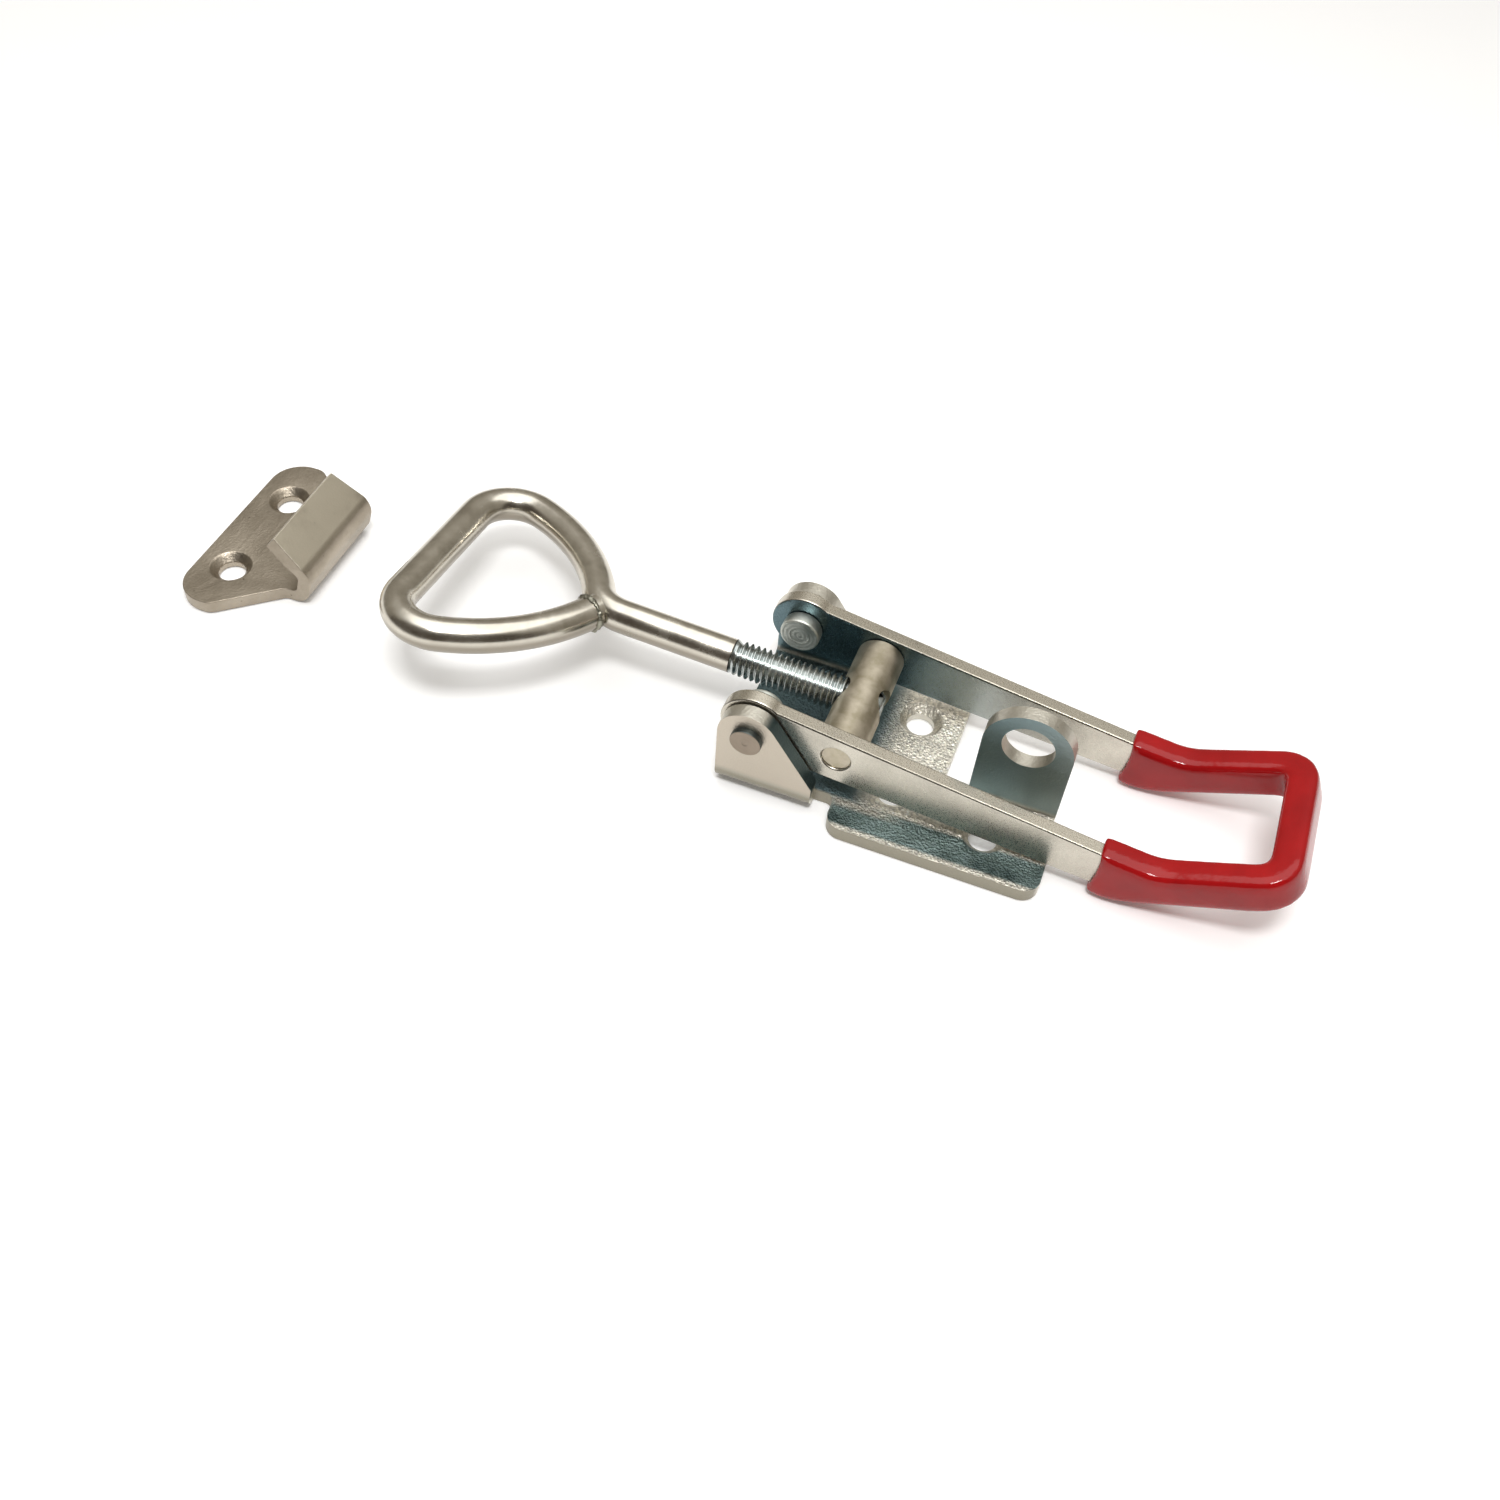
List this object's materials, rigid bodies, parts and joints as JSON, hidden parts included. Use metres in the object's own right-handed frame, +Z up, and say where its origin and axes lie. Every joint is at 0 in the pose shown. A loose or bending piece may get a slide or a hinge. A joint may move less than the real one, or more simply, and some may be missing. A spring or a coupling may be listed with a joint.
{
  "type": "over-centre toggle latch",
  "caption": "Adjustable over-centre toggle latch: pivoted U-handle with dipped vinyl grip, screwed rod with welded wire loop, folded base with padlock eye, and a separate hooked keeper plate.",
  "frame": {"origin": "on the underside of the base plate, on the latch's centre line, straight below the handle's pivot", "axes": "+X along the latch towards the grip, +Y across the latch towards its far side, +Z up from the surface that the base is screwed to"},
  "size_m": [0.1901, 0.0442, 0.0229],
  "materials": {
    "zinc_sheet": "zinc-plated folded sheet, fine galvanised grain",
    "zinc_strip": "zinc-plated strip, satin",
    "rivet_steel": "zinc-plated, turned rings on the made head",
    "turned_steel": "zinc-plated turned bar",
    "zinc_wire": "bright zinc-plated drawn wire",
    "keeper_sheet": "zinc-plated pressed sheet, satin",
    "vinyl": "dipped red vinyl, glossy"
  },
  "bodies": {
    "base": {"base_plate": "zinc_sheet", "pivot_rivet_near": "rivet_steel", "pivot_rivet_far": "rivet_steel", "keeper": "keeper_sheet"},
    "handle": {"handle": "zinc_strip", "handle_grip": "vinyl"},
    "trunnion": {"trunnion": "turned_steel"},
    "loop": {"loop_rod": "zinc_wire"}
  },
  "joints": [
    {"name": "handle_pivot", "type": "hinge", "parent": "base", "child": "handle", "pos_m": [0, 0, 0.0128], "axis": [0, -1, 0], "range_deg": [0, 165]},
    {"name": "trunnion_pivot", "type": "hinge", "parent": "handle", "child": "trunnion", "pos_m": [0.0135, 0, 0.0112], "axis": [0, -1, 0], "range_deg": [-165, 0]},
    {"name": "rod_screw", "type": "hinge", "parent": "trunnion", "child": "loop", "pos_m": [0.0135, 0, 0.0112], "axis": [-0.9987, 0, 0.0506], "range_deg": [-540, 540]}
  ],
  "couplings": [
    {"joint": "trunnion_pivot", "follows": "handle_pivot", "ratio": -1}
  ]
}
